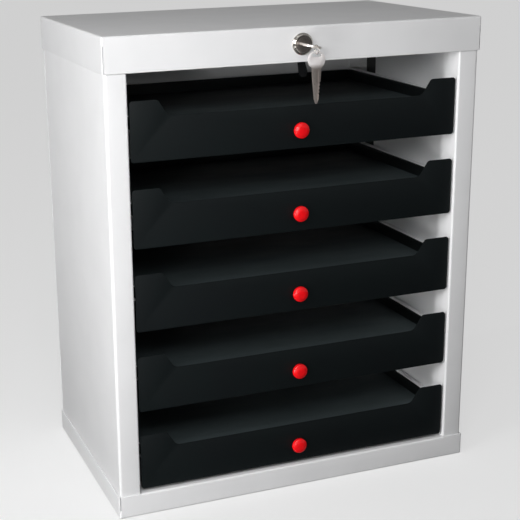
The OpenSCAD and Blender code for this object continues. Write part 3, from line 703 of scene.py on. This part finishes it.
def keyOutlines():
    # the bow's circle runs from the right side of the neck round to the left, then the blade closes it
    radius = key["bow"] / 2
    neck = key["blade"] / 2
    reach = np.arcsin(neck / radius)
    angles = np.linspace(np.pi / 2 - reach, -3 * np.pi / 2 + reach, 64)
    bow = np.column_stack([radius * np.cos(angles), radius + radius * np.sin(angles)])
    start = key["length"] - key["insert"]
    shoulder = (key["blade"] - (key["blade"] - key["tip"]) * key["shoulderAt"]) / 2
    tip = key["tip"] / 2
    left = [(-shoulder, start), (-tip, key["length"] - key["tipLength"]), (-tip / 3, key["length"])]
    right = [(tip / 3, key["length"]), (tip, key["length"] - key["tipLength"])]
    lean = (shoulder - tip) / (key["length"] - key["tipLength"] - start)
    for step in range(key["notches"], 0, -1):
        y = step * key["notchStep"]
        notch = key["notch"]
        for back, out in ((notch, 0), (0, notch), (-notch, 0)):
            right.append((shoulder - (y + back) * lean - out, start + y + back))
    right.append((shoulder, start))
    outline = np.vstack([bow, left, right])
    halfSlot = key["slotLength"] / 2
    slotTop = key["bar"] + key["slotWidth"]
    slotRadius = key["slotWidth"] / 2 - 0.05  # just short of a half circle
    slot = arcRound([
        (-halfSlot, key["bar"], slotRadius), (halfSlot, key["bar"], slotRadius),
        (halfSlot, slotTop, slotRadius), (-halfSlot, slotTop, slotRadius),
    ], 10)
    return outline, slot


def spin(axis, degrees):
    return np.array(Matrix.Rotation(np.radians(degrees), 3, axis))


keyOutline, slotOutline = keyOutlines()
keySolid = prism(keyOutline, -key["thick"] / 2, key["thick"] / 2, "z")
keyEndY = lock["faceY"] - lock["bezelThick"] - lock["proud"] - (key["length"] - key["insert"])
barY = keyEndY + key["bar"] / 2
tilt = np.radians(key["tilt"])
wireRadius = ring["wire"] / 2
ringKeyZ = lock["z"] - ring["x"] * np.tan(tilt)
ringLift = (key["thick"] / 2 + wireRadius + ring["gap"]) / np.cos(tilt)
ringZ = ringKeyZ + ringLift - np.sqrt(ring["radius"] ** 2 - (key["bar"] / 2) ** 2)
spareLift = wireRadius + ring["gap"] + ring["radius"] - np.sqrt(
    ring["radius"] ** 2 - (key["thick"] / 2) ** 2)
spareTopZ = ringZ - ring["radius"] + spareLift + key["bar"]

# a milled groove along each face of a blade, as on any pin lock's key
grooveBed = key["thick"] / 2 - key["grooveDeep"]
grooveFrom, grooveTo = key["bow"] + 1, key["length"] - 2
frontGroove, backGroove = key["grooves"]
keyCutters = [
    prism(slotOutline, -key["thick"], key["thick"], "z"),
    block((frontGroove[0], grooveFrom, grooveBed), (frontGroove[1], grooveTo, key["thick"])),
    block((backGroove[0], grooveFrom, -key["thick"]), (backGroove[1], grooveTo, -grooveBed)),
]
insertedPlace = (spin("Y", key["tilt"]), (0, keyEndY, lock["z"]))
sparePlace = (spin("X", -90), (ring["x"], barY, spareTopZ))
build("inserted_key_blank", [moved(keySolid, *insertedPlace)], keyMetal, "lock_core",
      ["inserted_key"], key["edge"], cutters=[moved(c, *insertedPlace) for c in keyCutters])
# the spare key's bow is painted lighter and less metallic than its blade, a painted highlight
spareBowHighlight = {"colour": "#fbf7f6", "shade": "#ece6e6", **keyPolish, "bare": 0.25}
spareMetal = keyWithPaintedBowHighlight(
    "milled_key_painted_bow_highlight", spareBowHighlight, "#beb4ae", 0.75, spareTopZ - key["bow"] * key["highlightShare"])
build("spare_key_blank", [moved(keySolid, *sparePlace)], spareMetal, "hanging_key",
      ["spare_key"], key["edge"], cutters=[moved(c, *sparePlace) for c in keyCutters])


def splitRing():
    # two turns of round-edged wire side by side: (0, R cos a, R sin a) shifted half a wire each way
    steps = 192
    angles = np.linspace(0, 2 * np.pi * ring["turns"], steps) + ring["start"]
    drift = (np.linspace(0, 1, steps) - 0.5) * wireRadius
    around = np.linspace(0, 2 * np.pi, 16, endpoint=False)
    rings = []
    for a, shift in zip(angles, drift):
        radial = ring["radius"] + wireRadius * 0.98 * np.cos(around)
        across = shift + wireRadius * 0.5 * np.sin(around)
        rings.append(np.column_stack([across, radial * np.cos(a), radial * np.sin(a)]))
    return ringLoft(rings)


build("key_ring_split", [moved(splitRing(), shift=(ring["x"], barY, ringZ))], nickelPlate,
      "ring", ["key_ring"], smoothDeg=60)
print("lock and keys built")


# The CAD pieces that are shown as they are

carried = {
    "back_panel": whiteCoat, "back_rivets": aluminiumRivet, "lock_nut": zincSteel,
    "lock_plug": plugFacePaintedDark, "lock_cam": darkZinc, "cam_screw": darkZinc,
}
carried.update({f"knob_screw_{i}": zincSteel for i in trayNumbers})
for name, material in carried.items():
    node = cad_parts[name]
    node.data.materials.clear()
    node.data.materials.append(material)


# The stage, the light and the camera

floorPaper = {
    "colour": "#a2a2a2", "shade": "#9d9d9d", "bounced": "#4a4a4a", "glow": 0.56, "grainMm": 2.5,
    "half": 40000, "thick": 2,
}


def stageFloor():
    # matt studio paper: pale where the camera sees it, darker for the light that it throws back
    material, tree, shader, place = newMaterial("studio_paper")
    grain = noiseAt(tree, place, floorPaper["grainMm"], 3)
    paper = blendColours(tree, grain, floorPaper["colour"], floorPaper["shade"])
    rays = addNode(tree, "LightPath")
    seen = addNode(tree, "MixRGB", {"Color1": toLinear(floorPaper["bounced"])}, {
        "Fac": rays.outputs["Is Camera Ray"], "Color2": paper})
    tree.links.new(seen.outputs["Color"], shader.inputs["Base Color"])
    shader.inputs["Roughness"].default_value = 0.85
    addBump(tree, shader, grain, 0.05)
    lift = addNode(tree, "Math", {"operation": "MULTIPLY", 1: floorPaper["glow"]}, {
        0: rays.outputs["Is Camera Ray"]})
    tree.links.new(lift.outputs["Value"], shader.inputs["Emission Strength"])
    shader.inputs["Emission Color"].default_value = toLinear("#ffffff")
    half = floorPaper["half"]
    sheet = block((-half, -half, -floorPaper["thick"]), (half, half, 0))
    floor = bpy.data.objects.new("studio_floor", meshOf("studio_floor", sheet))
    bpy.context.scene.collection.objects.link(floor)
    floor.data.materials.append(material)


stageFloor()

# Each lamp: where it stands, where it points, how wide and high it is, and its watts
lamps = {
    # the left side and a strip of the right inner wall
    "level_far": {"at": (-4.8, -0.47, 0.42), "aim": (0, -0.1, 0.3), "size": (0.1, 0.3), "power": 74.0},
    # the front, and the inside of the case
    "front_low": {"at": (-1.9, -3.4, 0.42), "aim": (0, -0.1, 0.3), "size": (0.5, 0.3), "power": 13.5},
    # the left front corner, high and low
    "left_near": {"at": (-0.9, -0.5, 0.75), "aim": (-0.2, -0.1, 0.4), "size": (0.3, 0.3), "power": 3.4},
    "front_near": {
        "at": (-0.36, -0.78, 0.66), "aim": (-0.1, -0.12, 0.42), "size": (0.2, 0.2), "power": 2.0},
    "corner_low": {
        "at": (-0.55, -0.6, 0.12), "aim": (-0.2, -0.12, 0.12), "size": (0.3, 0.15), "power": 1.4},
    # the floors of the trays
    "soft_high": {"at": (-0.2, -1.2, 1.7), "aim": (0, -0.1, 0.3), "size": (1.4, 1.0), "power": 4.0},
    # the top
    "top_rear": {"at": (0.2, 1.2, 2.2), "aim": (0, 0, 0.4), "size": (1.5, 1.5), "power": 1.6},
    # the back, in views from behind
    "rear_low": {"at": (1.1, 2.6, 0.12), "aim": (0, 0.12, 0.25), "size": (0.8, 0.16), "power": 16.0},
}
for name, lamp in lamps.items():
    data = bpy.data.lights.new(name, "AREA")
    data.shape = "RECTANGLE"
    data.size, data.size_y = lamp["size"]
    data.energy = lamp["power"]
    holder = bpy.data.objects.new(name, data)
    toward = np.array(lamp["aim"]) - np.array(lamp["at"])
    back = -toward / np.linalg.norm(toward)
    side = np.cross((0, 0, 1), back)
    side /= np.linalg.norm(side)
    turn = np.column_stack([side, np.cross(back, side), back])
    holder.matrix_world = Matrix.Translation(lamp["at"]) @ Matrix(turn.tolist()).to_4x4()
    bpy.context.scene.collection.objects.link(holder)

# The low rear lamp would leave a glaring patch on the floor, so it leaves the floor out
notLit = bpy.data.collections.new("not_lit_from_behind")
notLit.objects.link(bpy.data.objects["studio_floor"])
notLit.collection_objects[0].light_linking.link_state = "EXCLUDE"
bpy.data.objects["rear_low"].light_linking.receiver_collection = notLit

# Reflections show the pale backdrop too, but dimmed, or the black coats would turn grey
surround = {"ambient": 0.14, "backdrop": 1.0, "reflected": 0.3, "pale": "#f2f2f2", "light": "#ffffff"}
world = bpy.data.worlds.new("studio")
world.use_nodes = True
bpy.context.scene.world = world
worldTree = world.node_tree
worldTree.nodes.clear()
rays = addNode(worldTree, "LightPath")


def backgroundOf(colour, strength):
    return addNode(worldTree, "Background", {
        "Color": toLinear(surround[colour]), "Strength": surround[strength]}).outputs[0]


unseen = addNode(worldTree, "MixShader", {}, {
    "Fac": rays.outputs["Is Glossy Ray"],
    1: backgroundOf("light", "ambient"), 2: backgroundOf("pale", "reflected")})
shown = addNode(worldTree, "MixShader", {}, {
    "Fac": rays.outputs["Is Camera Ray"],
    1: unseen.outputs[0], 2: backgroundOf("pale", "backdrop")})
addNode(worldTree, "OutputWorld", {}, {"Surface": shown.outputs[0]})

# The camera: azimuth, downward elevation and roll in degrees, then the lens and its shift
shot = {"at": (-0.4918, -1.16236, 0.597716), "azimuth": 20.146, "elevation": 16.363, "roll": -1.033,
        "lens": 82.076, "shift": (0.11696, -0.01382)}
azimuth, elevation, roll = (np.radians(shot[k]) for k in ("azimuth", "elevation", "roll"))
ahead = np.array([
    np.sin(azimuth) * np.cos(elevation), np.cos(azimuth) * np.cos(elevation), -np.sin(elevation)])
level = np.array([np.cos(azimuth), -np.sin(azimuth), 0])
upright = np.cross(level, ahead)
right = level * np.cos(roll) + upright * np.sin(roll)
up = upright * np.cos(roll) - level * np.sin(roll)
cameraData = bpy.data.cameras.new("photo_camera")
cameraData.sensor_width = 36
cameraData.lens = shot["lens"]
cameraData.shift_x, cameraData.shift_y = shot["shift"]
camera = bpy.data.objects.new("photo_camera", cameraData)
turn = Matrix(np.column_stack([right, up, -ahead]).tolist()).to_4x4()
camera.matrix_world = Matrix.Translation(shot["at"]) @ turn
bpy.context.scene.collection.objects.link(camera)
bpy.context.scene.camera = camera
bpy.context.scene.view_settings.view_transform = "Standard"
print("stage, light and camera set")
